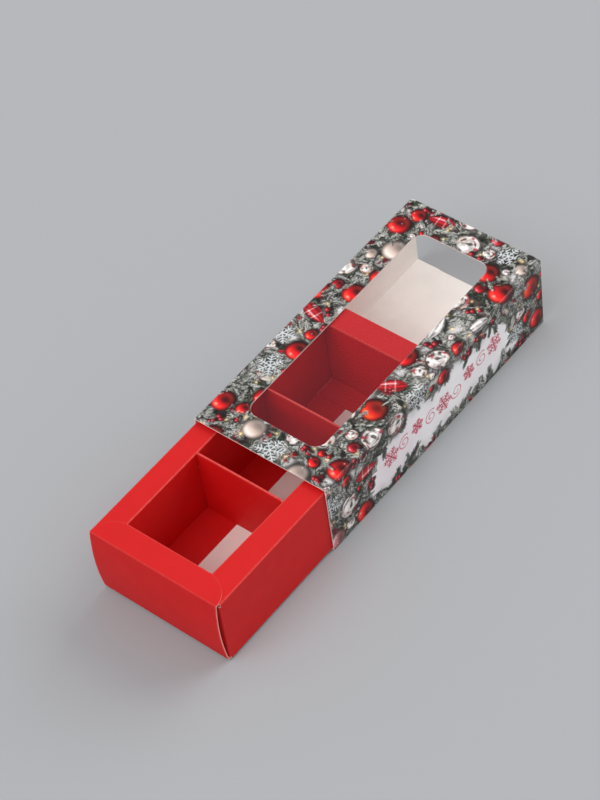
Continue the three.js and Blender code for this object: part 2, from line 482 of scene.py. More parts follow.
# %% Mesh to piece
LEAN_ALONG = (-127.0, -50.0), (1.8, 0.0)  # places, and how far the wall leans there
LEAN_ACROSS = (-29.6, -20.4, -6.0), (0.0, 1.0, 0.0)
LEAN_UP = (1.8, 33.8), (0.0, 1.0)


def lean_in(grid):
    """Places move in by along(x) * across(y) * up(z), each a straight ramp: most at the near end, at the
    rim's inner crease, on top."""
    leans = (LEAN_ALONG, LEAN_ACROSS, LEAN_UP)
    along, across, up = (np.interp(grid[..., k], *lean) for k, lean in enumerate(leans))
    moved = grid.copy()
    moved[..., 1] += along * across * up
    return moved


def make_card(name, node, body, materials, parts, marks):
    """A piece that stands for a node, from one or more closed grids. Each part is (grid, finish of each
    loop segment, closed, slits)."""
    points, faces, finishes, first = [], [], [], 0
    for grid, segment_finish, closed, slits in parts:
        if body == "tray":
            grid = lean_in(grid)
        stations, around = grid.shape[:2]
        corners = first + np.arange(stations * around).reshape(stations, around)
        quads = grid_faces(corners, closed)
        kinds = np.broadcast_to(segment_finish, quads.shape[:2])
        kept = np.ones(quads.shape[:2], bool)
        for begin, end, low, high in slits:
            kept[begin:end, low:high] = False
            kept[begin:end, around - 1 - high : around - 1 - low] = False
        faces.append(quads[kept])
        finishes.append(kinds[kept])
        for slit in slits:
            rim = slit_rim(corners, slit)
            faces.append(rim)
            finishes.append(np.full(len(rim), FACE))
        if not closed:
            faces += [corners[:1, ::-1], corners[-1:]]
            finishes += [np.array([CUT]), np.array([CUT])]
        points.append(grid.reshape(-1, 3))
        first += stations * around
    mesh = bpy.data.meshes.new(name)
    volume = fill_mesh(mesh, np.concatenate(points), faces, finishes)
    for material in materials:
        mesh.materials.append(material)
    for key, values in marks.items():
        kind, field = ("FLOAT_COLOR", "color") if values.ndim == 2 else ("FLOAT", "value")
        stored = mesh.attributes.new(key, kind, "POINT")
        stored.data.foreach_set(field, values.astype(np.float32).ravel())
    piece = bpy.data.objects.new(name, mesh)
    bpy.context.scene.collection.objects.link(piece)
    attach(piece, body)
    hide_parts(node)
    triangles = sum(len(block) * (block.shape[1] - 2) for block in faces)
    print(f"{name}: {triangles} triangles, {volume:.0f} cubic mm of card")


def sweep(loop, stations, carry):
    """Carries a section along its stations. carry turns (station, across, up) arrays into millimetre
    places."""
    along = stations[:, None]
    across = np.broadcast_to(loop[..., 0], (len(stations), loop.shape[-2]))
    up = np.broadcast_to(loop[..., 1], (len(stations), loop.shape[-2]))
    return np.stack(np.broadcast_arrays(*carry(along, across, up)), -1)


print(f"the tray's right wall leans in by {LEAN_ALONG[1][0]} mm at the most")

# %% [markdown]
# ## Panels of the tray
#
# A panel is a folded line carried along a straight run. Hand-folded card is never dead flat, so the larger
# panels swell by a tenth of a millimetre or two in their middle. The swelling dies out at the creases,
# where the neighbouring panel holds the card straight.


# %% Section of a panel
HALF = BOARD / 2
LEFT, RIGHT = 1, -1  # the printed side of a line, seen in its direction of travel


def edge_marks(distances):
    """1 at a cut edge, falling off over CUT_WIDTH."""
    return np.exp(-((distances / CUT_WIDTH) ** 2))


def both_faces(marks):
    """The marks of the rows of a sheet's face, and again for its back, whose rows run the other way."""
    return np.concatenate([marks, marks[:, ::-1]], 1).ravel()


def close_loop(face, back):
    """A section's closed loop: its face from first row to last, a cut edge, its back the other way, and
    another cut edge."""
    finish = [FACE] * (face.shape[-2] - 1) + [CUT] + [BACK] * (back.shape[-2] - 1) + [CUT]
    return np.concatenate([face, back], axis=-2), np.array(finish)


def section_loop(places, normals):
    """The loop of a sheet round its middle line. places may be one line (n, 2) or a line for each station
    (m, n, 2)."""
    return close_loop(places + normals * HALF, (places - normals * HALF)[..., ::-1, :])


print(f"face and back stand {HALF:.2f} mm off the middle line")


# %% Panels
def nearest(values, wanted):
    """Which of the values is nearest to the wanted one."""
    return int(np.argmin(abs(values - wanted)))


def make_tray_card(name, node, parts, marks):
    """A piece of the tray."""
    make_card(name, node, "tray", RED_FINISHES, parts, marks)


def make_panel(
    name,
    node,
    points,
    creases,
    run,
    carry,
    face_side=LEFT,
    swell=0.0,
    cut_sides=(False, False),
    cut_ends=(True, True),
    edge_finish=CUT,
    slits=(),
    slit_heights=(),
    slot="red_card",
):
    """One panel: the middle line through points, swept over run, which is (low, high). The swelling is
    swell * sqrt(sin(pi * share along the run)) * sin(pi * share along the line), along the line's
    normal."""
    places, normals, creased = middle_line(points, creases)
    normals = normals * face_side
    lengths = np.concatenate([[0], np.cumsum(np.linalg.norm(np.diff(places, axis=0), axis=1))])
    stations = stations_between(*run)
    for slit in slits:
        stations = np.unique(np.round(np.concatenate([stations, slit]), 6))
    share = (stations - run[0]) / (run[1] - run[0])
    bulge = swell * np.outer(np.sqrt(np.sin(np.pi * share).clip(0)), np.sin(np.pi * lengths / lengths[-1]))
    loop, finish = section_loop(places[None] + normals * bulge[..., None], normals)
    finish[finish == CUT] = edge_finish
    near_cut = np.zeros((len(stations), len(places)))
    for is_cut, distance in zip(cut_sides, (lengths, lengths[-1] - lengths)):
        near_cut = np.maximum(near_cut, edge_marks(distance) * is_cut)
    for is_cut, distance in zip(cut_ends, (stations - run[0], run[1] - stations)):
        near_cut = np.maximum(near_cut, edge_marks(distance)[:, None] * is_cut)
    marks = {"crease": both_faces(np.tile(creased, (len(stations), 1))), "cut": both_faces(near_cut)}
    rows = sorted(nearest(places[:, 1], height) for height in slit_heights)
    holes = [(nearest(stations, low), nearest(stations, high), *rows) for low, high in slits]
    make_tray_card(name, node, [(sweep(loop, stations, carry), finish, False, holes)], marks)


def panel_maker(label, carry, face_side=LEFT):
    """A shorter make_panel, for panels of one wall, which are named and carried alike."""

    def make(part, points, creases, run, node=None, **looks):
        """One panel. Its node is named like its part, unless it says otherwise."""
        name, node = f"{label}_{part}_card", f"{label}_{node or part}"
        make_panel(name, node, points, creases, run, carry, face_side, **looks)

    return make


R = CREASE_RADIUS
wall_high = span("tray_left_wall")[1]
rim_low, rim_high = span("tray_left_rim")
inner_low, inner_high = span("tray_left_inner_wall")
flap_low, flap_high = span("tray_left_floor_flap")
base_low, base_high = span("tray_base")
end_high = span("tray_near_end")[1]
end_rim_low, end_rim_high = span("tray_near_rim")
end_inner_low, end_inner_high = span("tray_near_inner_wall")
end_flap_low, end_flap_high = span("tray_near_floor_flap")
dust_low, dust_high = span("tray_near_left_dust_flap")
near_crease = base_low[0] - BOARD
end_lean = near_crease - end_rim_low[0]
tray_middle = (end_rim_low[0] + span("tray_far_rim")[1][0]) / 2
far_crease = 2 * tray_middle - near_crease
print(f"tray from {near_crease:.1f} to {far_crease:.1f} mm")

# %% [markdown]
# ### Hollow side walls
#
# From the base the card goes up as the outer wall, over as the rim, down as the inner wall and inwards as a
# floor flap. The printed side faces out all the way. Left and right are mirror images, so one function
# makes both.

# %% Hollow side walls
divider_middles = [sum(span(node)[k][0] for k in (0, 1)) / 2 for node in ("near_divider", "far_divider")]
TAB_LOW, TAB_HIGH = 10.0, 26.0  # height of the dividers' tabs
TAB_GAP = 0.03  # above and below a tab, in its slit
SLIT_HALF = 0.46  # half of a slit's width
# each crease's pale line is painted: wear of the coating and a highlight where the fold rounds
FOOT_SHINE_AND_WEAR, OUTER_SHINE_AND_WEAR, INNER_SHINE_AND_WEAR, FLOOR_SHINE_AND_WEAR = 0.3, 0.55, 0.8, 0.04  # how pale each crease of a wall is
UNCUT = (False, False)


def side_walls(side_name, side):
    """Four panels of one side, at |y| and z, swept along x."""
    outer, inner = wall_high[1] - HALF, inner_low[1] + HALF
    floor, top, flap_z = base_low[2] + HALF, rim_high[2] - HALF, flap_low[2] + HALF
    slit_top, slit_foot = (inner, TAB_HIGH + TAB_GAP), (inner, TAB_LOW - TAB_GAP)
    end = dust_low[0] + HALF + R
    panel = panel_maker(f"tray_{side_name}", lambda along, across, up: (along, side * across, up), RIGHT)
    panel(
        "outer_wall",
        [(outer - R, floor), (outer, floor), (outer, top), (outer - R, top)],
        {1: FOOT_SHINE_AND_WEAR, 2: OUTER_SHINE_AND_WEAR},
        (end, 2 * tray_middle - end),
        node="wall",
        swell=0.12,
        cut_ends=UNCUT,
    )
    panel("rim", [(outer - R, top), (inner + R, top)], {}, (rim_low[0], rim_high[0]))
    panel(
        "inner_wall",
        [(inner + R, top), (inner, top), slit_top, slit_foot, (inner, flap_z), (inner - R, flap_z)],
        {1: INNER_SHINE_AND_WEAR, 4: FLOOR_SHINE_AND_WEAR},
        (inner_low[0], inner_high[0]),
        slits=[(middle - SLIT_HALF, middle + SLIT_HALF) for middle in divider_middles],
        slit_heights=(slit_top[1], slit_foot[1]),
    )
    flap_line, flap_run = [(inner - R, flap_z), (flap_low[1], flap_z)], (flap_low[0], flap_high[0])
    panel("floor_flap", flap_line, {}, flap_run, edge_finish=FACE, swell=0.1)


side_walls("left", 1)
side_walls("right", -1)

# %% [markdown]
# ### Hollow ends
#
# An end is folded the same way, but its outer panel bows out, because the rim is a little longer than the
# space that the inner wall leaves it. The rim lies on the side rims, and its ends are cut as quarter
# rounds.

# %% Hollow ends
END_ROUND = end_rim_high[0] - end_rim_low[0]  # radius of the rim's rounded ends
END_BOW = 1.34  # how far the outer panel bows out half way up
# pale lines of wear and painted highlight: at the rim's inner crease and along its rounded cut ends
END_SHINE_AND_WEAR = 0.4  # of the crease between the rim and the inner wall
RIM_CURL = 0.12  # how far the rim's rounded ends lift
ROUND_SHINE_AND_WEAR = 0.3  # how pale their cut edges are


def end_walls(end_name, direction):
    """Four panels of one end. The distance in from the end's bottom crease and z are swept along y. The
    outer panel leans out evenly and bows by 4 * END_BOW * share * (1 - share)."""
    label = f"tray_{end_name}"
    crease = near_crease if direction > 0 else far_crease
    carry = lambda along, across, up: (crease + direction * across, along, up)
    panel = panel_maker(label, carry)
    half_width = end_high[1]
    floor, top = base_low[2] + HALF, end_rim_low[2] + HALF
    inner, flap_z = end_inner_low[0] - near_crease + HALF, end_flap_low[2] + HALF
    rim_start = HALF - end_lean + R
    shares = rows_between(top - floor, 1.6) / (top - floor)
    bow = HALF - (end_lean * shares + END_BOW * 4 * shares * (1 - shares))
    outer_line = [(HALF + R, floor), *zip(bow, floor + shares * (top - floor)), (rim_start, top)]
    outer_creases = {1: FOOT_SHINE_AND_WEAR, len(outer_line) - 2: FOOT_SHINE_AND_WEAR}
    panel("outer", outer_line, outer_creases, (-half_width, half_width), node="end")
    make_end_rim(label, carry, half_width, rim_start, inner - R, top)
    inner_line = [(inner - R, top), (inner, top), (inner, flap_z), (inner + R, flap_z)]
    inner_run = (end_inner_low[1], end_inner_high[1])
    panel("inner_wall", inner_line, {1: END_SHINE_AND_WEAR, 2: FLOOR_SHINE_AND_WEAR}, inner_run, cut_ends=UNCUT, swell=0.1)
    flap_line = [(inner + R, flap_z), (end_flap_high[0] - near_crease, flap_z)]
    panel("floor_flap", flap_line, {}, (end_flap_low[1], end_flap_high[1]), edge_finish=FACE)


def make_end_rim(label, carry, half_width, outer, inner, top):
    """The rim: flat rows from the outer crease in to the inner crease, or near the ends in to the quarter
    round, where the row stops at -lean + sqrt(round^2 - d^2), d being how far the station is past the
    round's middle."""
    straight = end_inner_high[1]
    arc = half_width - END_ROUND + END_ROUND * np.sin(np.linspace(0, np.pi / 2, 40))
    beyond = arc[(arc > straight + 0.02) & (arc < half_width - 0.001)]
    half = np.concatenate([[0, 5, 10, 15, 18, straight - 0.3, straight, straight + 0.01], beyond])
    past = (half - (half_width - END_ROUND)).clip(0)
    limit = np.where(half <= straight, inner, -end_lean + np.sqrt((END_ROUND**2 - past**2).clip(0)))
    limit = np.maximum(limit, outer + 0.02)
    stations = np.concatenate([-half[:0:-1], half])
    stop = np.concatenate([limit[:0:-1], limit])
    shares = rows_between(inner - outer) / (inner - outer)
    across = outer + (stop - outer)[:, None] * shares
    past_straight = (abs(stations) - straight).clip(0) / (half_width - straight)
    lift = RIM_CURL * past_straight[:, None] ** 2 * shares
    loop, finish = section_loop(np.stack([across, top + lift], -1), np.array([0.0, 1.0]))
    distance = np.minimum(stop[:, None] - across, (half_width - abs(stations))[:, None])
    near_cut = ROUND_SHINE_AND_WEAR * edge_marks(distance) * (abs(stations) > straight)[:, None]
    marks = {"crease": both_faces(0 * near_cut), "cut": both_faces(near_cut)}
    parts = [(sweep(loop, stations, carry), finish, False, [])]
    make_tray_card(f"{label}_rim_card", f"{label}_rim", parts, marks)


end_walls("near", 1)
end_walls("far", -1)

# %% [markdown]
# ### Base and dust flaps
#
# The base is the middle of the blank: its underside is printed red, and its bare white top shows as a strip
# between the floor flaps. The dust flaps fold in from the side walls and stiffen the hollow ends.

# %% Base and dust flaps
# a faint pale line of wear and painted highlight on the dust flaps' creases
HIDDEN_SHINE_AND_WEAR = 0.05  # of creases that nothing rubs
base_z = base_low[2] + HALF
base_edge = base_high[1] - HALF - R
make_panel(
    "tray_base_card",
    "tray_base",
    [(base_edge, base_z), (-base_edge, base_z)],
    {},
    (near_crease + HALF + R, far_crease - HALF - R),
    lambda along, across, up: (along, across, up),
    cut_ends=UNCUT,
    slot="white_card",
)
stand, wall = dust_low[0] + HALF, wall_high[1] - HALF
dust_line = [(stand + R, wall), (stand, wall), (stand, dust_low[1])]
for end_name, at_near_end in (("near", True), ("far", False)):
    for side_name, side in (("left", 1), ("right", -1)):
        make_panel(
            f"tray_{end_name}_{side_name}_dust_card",
            f"tray_{end_name}_{side_name}_dust_flap",
            dust_line,
            {1: HIDDEN_SHINE_AND_WEAR},
            (dust_low[2], dust_high[2]),
            lambda along, across, up: (across if at_near_end else 2 * tray_middle - across, side * up, along),
            cut_sides=(False, True),
            face_side=RIGHT,
        )

# %% [markdown]
# ### Dividers
#
# A divider is a strip of red card folded double, fold up, with a tab at each end that stands in a slit of
# the inner wall. The fold is a half circle whose inside radius is nearly nothing.


# %% Dividers
PLY_GAP = 0.015  # half the gap between the two plies
WALL_GAP = 0.3  # between the strip's end and the inner wall
# the pale fold along the divider's top is wear with a painted highlight
FOLD_WIDTH = 0.5  # how far down the pale fold reaches
DIVIDER_LEAN = 0.12


def make_divider(node):
    """Both plies as one section in x and z, swept along y, and a closed loop for each tab. The strip leans
    over by a sine of the share along it, more the higher up."""
    low, high = span(node)
    middle = (low[0] + high[0]) / 2
    ply = HALF + PLY_GAP
    half_length = inner_low[1] - WALL_GAP
    heights = rows_between(high[2] - low[2] - ply - HALF) + low[2]
    angles = np.linspace(0, np.pi, 9)[1:-1]
    fold = np.stack([-ply * np.cos(angles), heights[-1] + ply * np.sin(angles)], 1)
    left = np.stack([np.full(len(heights), -ply), heights], 1)
    right = left[::-1] * [-1, 1]
    places = np.concatenate([left, fold, right])
    flat = np.tile([1.0, 0.0], (len(left), 1))
    normals = unit(np.concatenate([-flat, fold - [0, heights[-1]], flat]))
    loop, finish = section_loop(places, normals)
    stations = stations_between(-half_length, half_length, 2.5)
    carry = lambda along, across, up: (middle + across, along, up)
    grid = sweep(loop, stations, carry)
    lean = DIVIDER_LEAN * np.sin(np.pi * (stations + half_length) / (2 * half_length))
    grid[..., 0] += lean[:, None] * ((grid[..., 2] - low[2]) / (high[2] - low[2]))
    creased = np.exp(-(((high[2] - places[:, 1]) / FOLD_WIDTH) ** 2))
    parts, thick = [(grid, finish, False, [])], ply + HALF
    tab_section = np.array([(-thick, TAB_LOW), (thick, TAB_LOW), (thick, TAB_HIGH), (-thick, TAB_HIGH)])
    for side in (-1, 1):
        reach = np.array(sorted([side * (half_length - 0.01), side * high[1]]))
        parts.append((sweep(tab_section, reach, carry), np.array([CUT, FACE, CUT, FACE]), False, []))
    strip = both_faces(np.tile(creased, (len(stations), 1)))
    creases = np.concatenate([strip, np.zeros(4 * len(tab_section))])
    make_tray_card(f"{node}_card", node, parts, {"crease": creases, "cut": 0 * creases})


make_divider("near_divider")
make_divider("far_divider")

# %% [markdown]
# ## The print: a canvas for the unfolded sleeve
#
# The sleeve is printed before it is folded, so the print is worked out on a flat canvas of the whole
# sleeve: its length across, and its girth down, with the middle of the top panel in the middle. The design
# is a generic winter garland of spruce, glass balls, drops, berries and snow crystals, all placed by seeded
# chance. It is laid on like paint, one motif over another, and at the end the mesh's vertices pick up the
# colour at their own place.

# %% Canvas
SLEEVE_HALF, SLEEVE_SIDE, SLEEVE_TOP = span("sleeve_top")[1]
DOTS = 6.0  # canvas dots per millimetre
HALF_GIRTH = 2 * SLEEVE_SIDE + SLEEVE_TOP
columns = int(round(2 * SLEEVE_HALF * DOTS))
rows = int(round(2 * HALF_GIRTH * DOTS))
chance = np.random.default_rng(8)
canvas = np.zeros((rows, columns, 3))
print(f"canvas of {columns} x {rows} dots for {2 * SLEEVE_HALF:.0f} x {2 * HALF_GIRTH:.0f} mm of card")


# %% Canvas helpers
def ink(red, green, blue):
    """A printing colour, written as 0 to 255."""
    return np.array([red, green, blue]) / 255


def blend(under, over, share):
    """under * (1 - share) + over * share."""
    return under * (1 - share) + over * share


def smooth_step(low, high, value):
    """0 below low, 1 above high, and 3t^2 - 2t^3 of the share t between."""
    share = np.clip((value - low) / (high - low), 0, 1)
    return share * share * (3 - 2 * share)


def blob(x, y, at_x, at_y, size):
    """A soft round spot: exp of minus the squared distance over size squared."""
    return np.exp(-((x - at_x) ** 2 + (y - at_y) ** 2) / size**2)


def soft_edge(distance):
    """Cover from a distance that is negative inside: one dot wide at the edge."""
    return np.clip(0.5 - distance * DOTS, 0, 1)


def area_round(along, around, reach):
    """The canvas rows and columns within reach of a place, and their offsets from it in millimetres. None
    where they are all off the canvas."""
    column, row = (along + SLEEVE_HALF) * DOTS, (around + HALF_GIRTH) * DOTS
    left, low = max(0, int(column - reach * DOTS)), max(0, int(row - reach * DOTS))
    right = min(columns, int(column + reach * DOTS) + 2)
    high = min(rows, int(row + reach * DOTS) + 2)
    if left >= right or low >= high:
        return None
    x = (np.arange(left, right)[None] + 0.5 - column) / DOTS
    y = (np.arange(low, high)[:, None] + 0.5 - row) / DOTS
    return slice(low, high), slice(left, right), x, y


def lay(area, colour, cover):
    """Lays a colour over an area of the canvas, as thick as cover says."""
    under = canvas[area[0], area[1]]
    canvas[area[0], area[1]] = blend(under, np.clip(colour, 0, 1), cover[..., None])


def turned(area, heading):
    """The area's offsets in axes turned to a heading: along it and across it."""
    cosine, sine = math.cos(heading), math.sin(heading)
    x, y = area[2], area[3]
    return x * cosine + y * sine, y * cosine - x * sine


def between(net, row, column, smooth=True):
    """The value at a place on a net of values, from its four nearest knots, joined by smooth steps or by
    straight lines."""
    r, c = row.astype(int).clip(0, len(net) - 2), column.astype(int).clip(0, net.shape[1] - 2)
    down, right = row - r, column - c
    if smooth:
        down, right = smooth_step(0, 1, down), smooth_step(0, 1, right)
    upper = blend(net[r, c], net[r, c + 1], right)
    lower = blend(net[r + 1, c], net[r + 1, c + 1], right)
    return blend(upper, lower, down)


def cloud(cell, octaves):
    """Soft noise over the canvas, 0 to 1, from nets of random values. The first net has that cell in
    millimetres, and each further octave has half the cell and half the weight."""
    total = np.zeros((rows, columns))
    for octave in range(octaves):
        step = cell * DOTS / 2**octave
        net = chance.random((int(rows / step) + 3, int(columns / step) + 3))
        down, right = np.arange(rows)[:, None] / step, np.arange(columns)[None] / step
        total += between(net, down, right) / 2**octave
    return total / (2 - 2 ** (1 - octaves))


print("cover 0.05 mm inside an edge, on it and outside:", soft_edge(np.array([-0.05, 0.0, 0.05])))

# %% [markdown]
# ### Where the garland hangs
#
# It covers the whole top and hangs about 8 mm down each side, and all the way down near both ends. A low
# fringe of spruce stands along each bottom crease. Between them each side keeps a pale, misty field. The
# function says how many millimetres a place is inside the garland, so the motifs can keep away from its
# edge.


# %% Garland outline
HOLE_NEAR, HOLE_FAR, HOLE_HALF = -52, 50, 14  # inside the window, where no print is left


def garland_depth(along, side):
    """About 8 mm, with two slow waves, and more than the side's height in the last 25 mm at both ends."""
    phase = np.where(side > 0, 0.6, 2.1)
    wave = 1.3 * np.sin(0.23 * along + phase) + 0.8 * np.sin(0.61 * along + 2 * phase)
    return 7.2 + wave + 34 * smooth_step(37.0, 54.0, abs(along - 3) + 1.5 * np.sin(phase + 0.4 * along))


def inside_garland(along, around):
    """The larger of the margins inside the hanging garland and inside the fringe at the bottom crease."""
    side, down = np.sign(around), abs(around) - SLEEVE_SIDE
    phase = np.where(side > 0, 0.3, 1.4)
    height = 3.4 + np.sin(0.31 * along + phase) + 0.9 * np.sin(0.74 * along + 3 * phase)
    hanging = np.minimum(garland_depth(along, side), SLEEVE_TOP + 3) - down
    return np.maximum(hanging, height - abs(down - SLEEVE_TOP))


PAST_ENDS, PAST_FOOT = 3, 5  # how far past the card's ends and past its bottom creases a place may lie
BATCH = 4000  # places drawn at a time


def scatter(count, least, fringe=True):
    """Random places whose margin inside the garland is at least that, none of them in the middle of the
    window. They may lie a little past the card's edge, so that motifs are cut off there."""
    found = np.zeros((0, 2))
    ends, foot = SLEEVE_HALF + PAST_ENDS, SLEEVE_SIDE + SLEEVE_TOP + PAST_FOOT
    while len(found) < count:
        along = chance.uniform(-ends, ends, BATCH)
        around = chance.uniform(-foot, foot, BATCH)
        kept = inside_garland(along, around) > least
        kept &= (abs(around) > HOLE_HALF) | (along < HOLE_NEAR) | (along > HOLE_FAR)
        if not fringe:
            kept &= abs(around) - SLEEVE_SIDE < garland_depth(along, np.sign(around)) - least
        found = np.concatenate([found, np.stack([along, around], 1)[kept]])
    return found[:count]


hangs_down = garland_depth(0.0, np.array([1, -1])).round(1)
print(f"at mid length the garland hangs {hangs_down} mm down the left and the right side")

# %% Ground of the print
along_canvas = ((np.arange(columns) + 0.5) / DOTS - SLEEVE_HALF)[None]
around_canvas = ((np.arange(rows) + 0.5) / DOTS - HALF_GIRTH)[:, None]
margin = inside_garland(along_canvas, around_canvas)
mist = ink(252, 246, 249) + (cloud(22, 4)[..., None] - 0.5) * ink(-24, -40, -32)
depths = smooth_step(0.3, 0.7, cloud(4, 3))[..., None]
shadows = blend(ink(21, 15, 14), ink(84, 70, 66), depths)
cover = smooth_step(-1.2, 1.5, margin)[..., None]
haze = 0.35 * (np.exp(-(((margin + 1.5) / 2.5) ** 2)) * cloud(3, 3))[..., None]
canvas = blend(blend(mist, shadows, cover), ink(150, 160, 158), haze)
print(f"the garland covers {(margin > 0).mean():.0%} of the canvas")

# %% [markdown]
# ### Spruce
#
# A sprig is some fifty needles, each a straight tapering line that leans off the stem. Drawing each one on
# the canvas would be slow, so a dozen sprigs are drawn once as stamps, and the stamps are laid down by the
# hundred at other angles, sizes and greens, each over its own dark shadow. Frost whitens the outer part of
# some needles.

# %% Spruce sprigs
STAMP_DOTS = 7.0
SNOW = ink(236, 234, 230)
GREENS = {  # the darkest and the lightest needle of a sprig
    "deep": (ink(17, 18, 14), ink(66, 76, 58)),
    "plain": (ink(34, 38, 31), ink(120, 128, 110)),
    "grey": (ink(66, 66, 62), ink(196, 196, 190)),
}


def sprig_stamp(length, needle, lean, width):
    """One sprig as grids of cover, share along the needle, and the needle's tone. A dot belongs to the
    topmost needle whose middle line is nearer than half its width, which tapers to under half at the tip."""
    x = np.arange(-needle, length + needle, 1 / STAMP_DOTS)[None, None]
    y = np.arange(-needle, needle, 1 / STAMP_DOTS)[None, :, None]
    count = int(length * 4.6)
    share = np.sort(chance.random(count)) ** 0.9
    side = np.where(np.arange(count) % 2 == 0, 1.0, -1.0)
    angle = side * np.radians(lean) * (1 - 0.55 * share) * chance.uniform(0.65, 1.25, count)
    size = needle * (1 - 0.35 * share) * chance.uniform(0.75, 1.1, count)
    angle, size = angle[:, None, None], size[:, None, None]
    from_x = x - (share * length)[:, None, None]
    from_y = y - (0.04 * length * np.sin(2.2 * share))[:, None, None]
    tip = ((from_x * np.cos(angle) + from_y * np.sin(angle)) / size).clip(0, 1)
    distance = np.hypot(from_x - tip * size * np.cos(angle), from_y - tip * size * np.sin(angle))
    cover = (0.5 + (width * (0.5 - 0.26 * tip) - distance) * STAMP_DOTS).clip(0, 1)
    order = chance.permutation(count)
    cover, tip = cover[order], tip[order]
    topmost = count - 1 - np.argmax(cover[::-1] > 0.45, axis=0)
    take = lambda layers: np.take_along_axis(layers, topmost[None], 0)[0]
    tone = chance.random(count)[topmost]
    return {"cover": take(cover), "tip": take(tip), "tone": tone, "size": (length, needle)}


STAMP_RANGES = ((8, 13), (2.6, 4.2), (38, 62), (0.4, 0.55))
stamps = [sprig_stamp(*(chance.uniform(*limits) for limits in STAMP_RANGES)) for _ in range(12)]


def sprig(along, around, heading, scale, greens, frost):
    """Lays a stamp with its middle at a place, over a shadow half a millimetre aside."""
    stamp = stamps[chance.integers(len(stamps))]
    length, needle = stamp["size"]
    area = area_round(along, around, (length / 2 + needle) * scale)
    if area is None:
        return
    p, q = turned(area, heading)
    high, wide = stamp["cover"].shape

    def on_stamp(shift):
        """Row and column on the stamp for each dot of the area, and which dots are on it at all."""
        column = (((p + shift) / scale + length / 2 + needle) * STAMP_DOTS).astype(int)
        row = (((q + shift) / scale + needle) * STAMP_DOTS).astype(int)
        inside = (column >= 0) & (column < wide) & (row >= 0) & (row < high)
        return (row.clip(0, high - 1), column.clip(0, wide - 1)), inside

    under, inside = on_stamp(-0.45)
    lay(area, ink(8, 11, 10), 0.6 * stamp["cover"][under] * inside)
    at, inside = on_stamp(0.0)
    tone, tip = stamp["tone"][at][..., None], stamp["tip"][at][..., None]
    dark, light = GREENS[greens]
    white = (frost * (0.35 + 0.65 * tip) * (tone > 0.45)).clip(0, 1)
    lay(area, blend(blend(dark, light, tone), SNOW, white), stamp["cover"][at] * inside)


def any_heading():
    """A random angle."""
    return chance.uniform(0, 2 * math.pi)


SPRUCE = (("deep", 260, 0.1), ("plain", 230, 0.55), ("deep", 100, 0.1), ("grey", 230, 1.0))
for greens, count, frost in SPRUCE:
    for along, around in scatter(count, 0.3):
        size, frosted = chance.uniform(0.8, 1.2), frost * chance.uniform(0.4, 1.2)
        sprig(along, around, any_heading(), size, greens, frosted)

for along, around in scatter(430, -0.6):
    side, down = np.sign(around), abs(around) - SLEEVE_SIDE
    if down > 2:
        hangs = down < SLEEVE_TOP - 9 or down > SLEEVE_TOP + 0.5
        heading = (side if hangs else -side) * math.pi / 2 + chance.uniform(-1, 1)
        greens = ["deep", "plain", "deep", "grey"][chance.integers(4)]
        sprig(along, around, heading, chance.uniform(0.45, 0.75), greens, chance.uniform(0.1, 0.8))
print(f"{len(stamps)} stamps of spruce")

# %% [markdown]
# ### Glass balls
#
# A printed ball is a lit sphere seen from the front. At a place (a, b) in its disc the surface looks
# towards (a, b, sqrt(1 - a^2 - b^2)), and everything else follows from that: how it is lit, how the rim
# darkens, where the window's highlight stands. The kinds of ball differ only in their numbers, which stand
# in one table.

# %% Kinds of ball
BALLS = {  # colour, unlit and lit shares, the dark room's and the rim's strength, and the highlight's colour
    "glossy red": (ink(216, 14, 22), 0.38, 0.92, 0.68, 0.45, ink(255, 108, 74)),
    "satin red": (ink(218, 36, 22), 0.40, 0.86, 0.45, 0.48, ink(255, 126, 60)),
    "deep red": (ink(158, 10, 28), 0.38, 0.92, 0.45, 0.42, ink(255, 140, 140)),
    "pearl": (ink(234, 208, 196), 0.44, 0.64, 0.22, 0.44, ink(255, 250, 244)),
    "pink": (ink(206, 132, 134), 0.42, 0.66, 0.24, 0.45, ink(255, 228, 224)),
}


def cast_shadow(along, around, radius, strength=0.62):
    """A soft dark disc, a little aside."""
    area = area_round(along + 0.4, around - 0.3, radius * 1.6)
    if area is not None:
        away = np.hypot(area[2], area[3])
        lay(area, ink(8, 10, 10), strength * smooth_step(radius * 1.4, radius * 0.85, away))


print("kinds of ball:", [*BALLS, "mirror"])


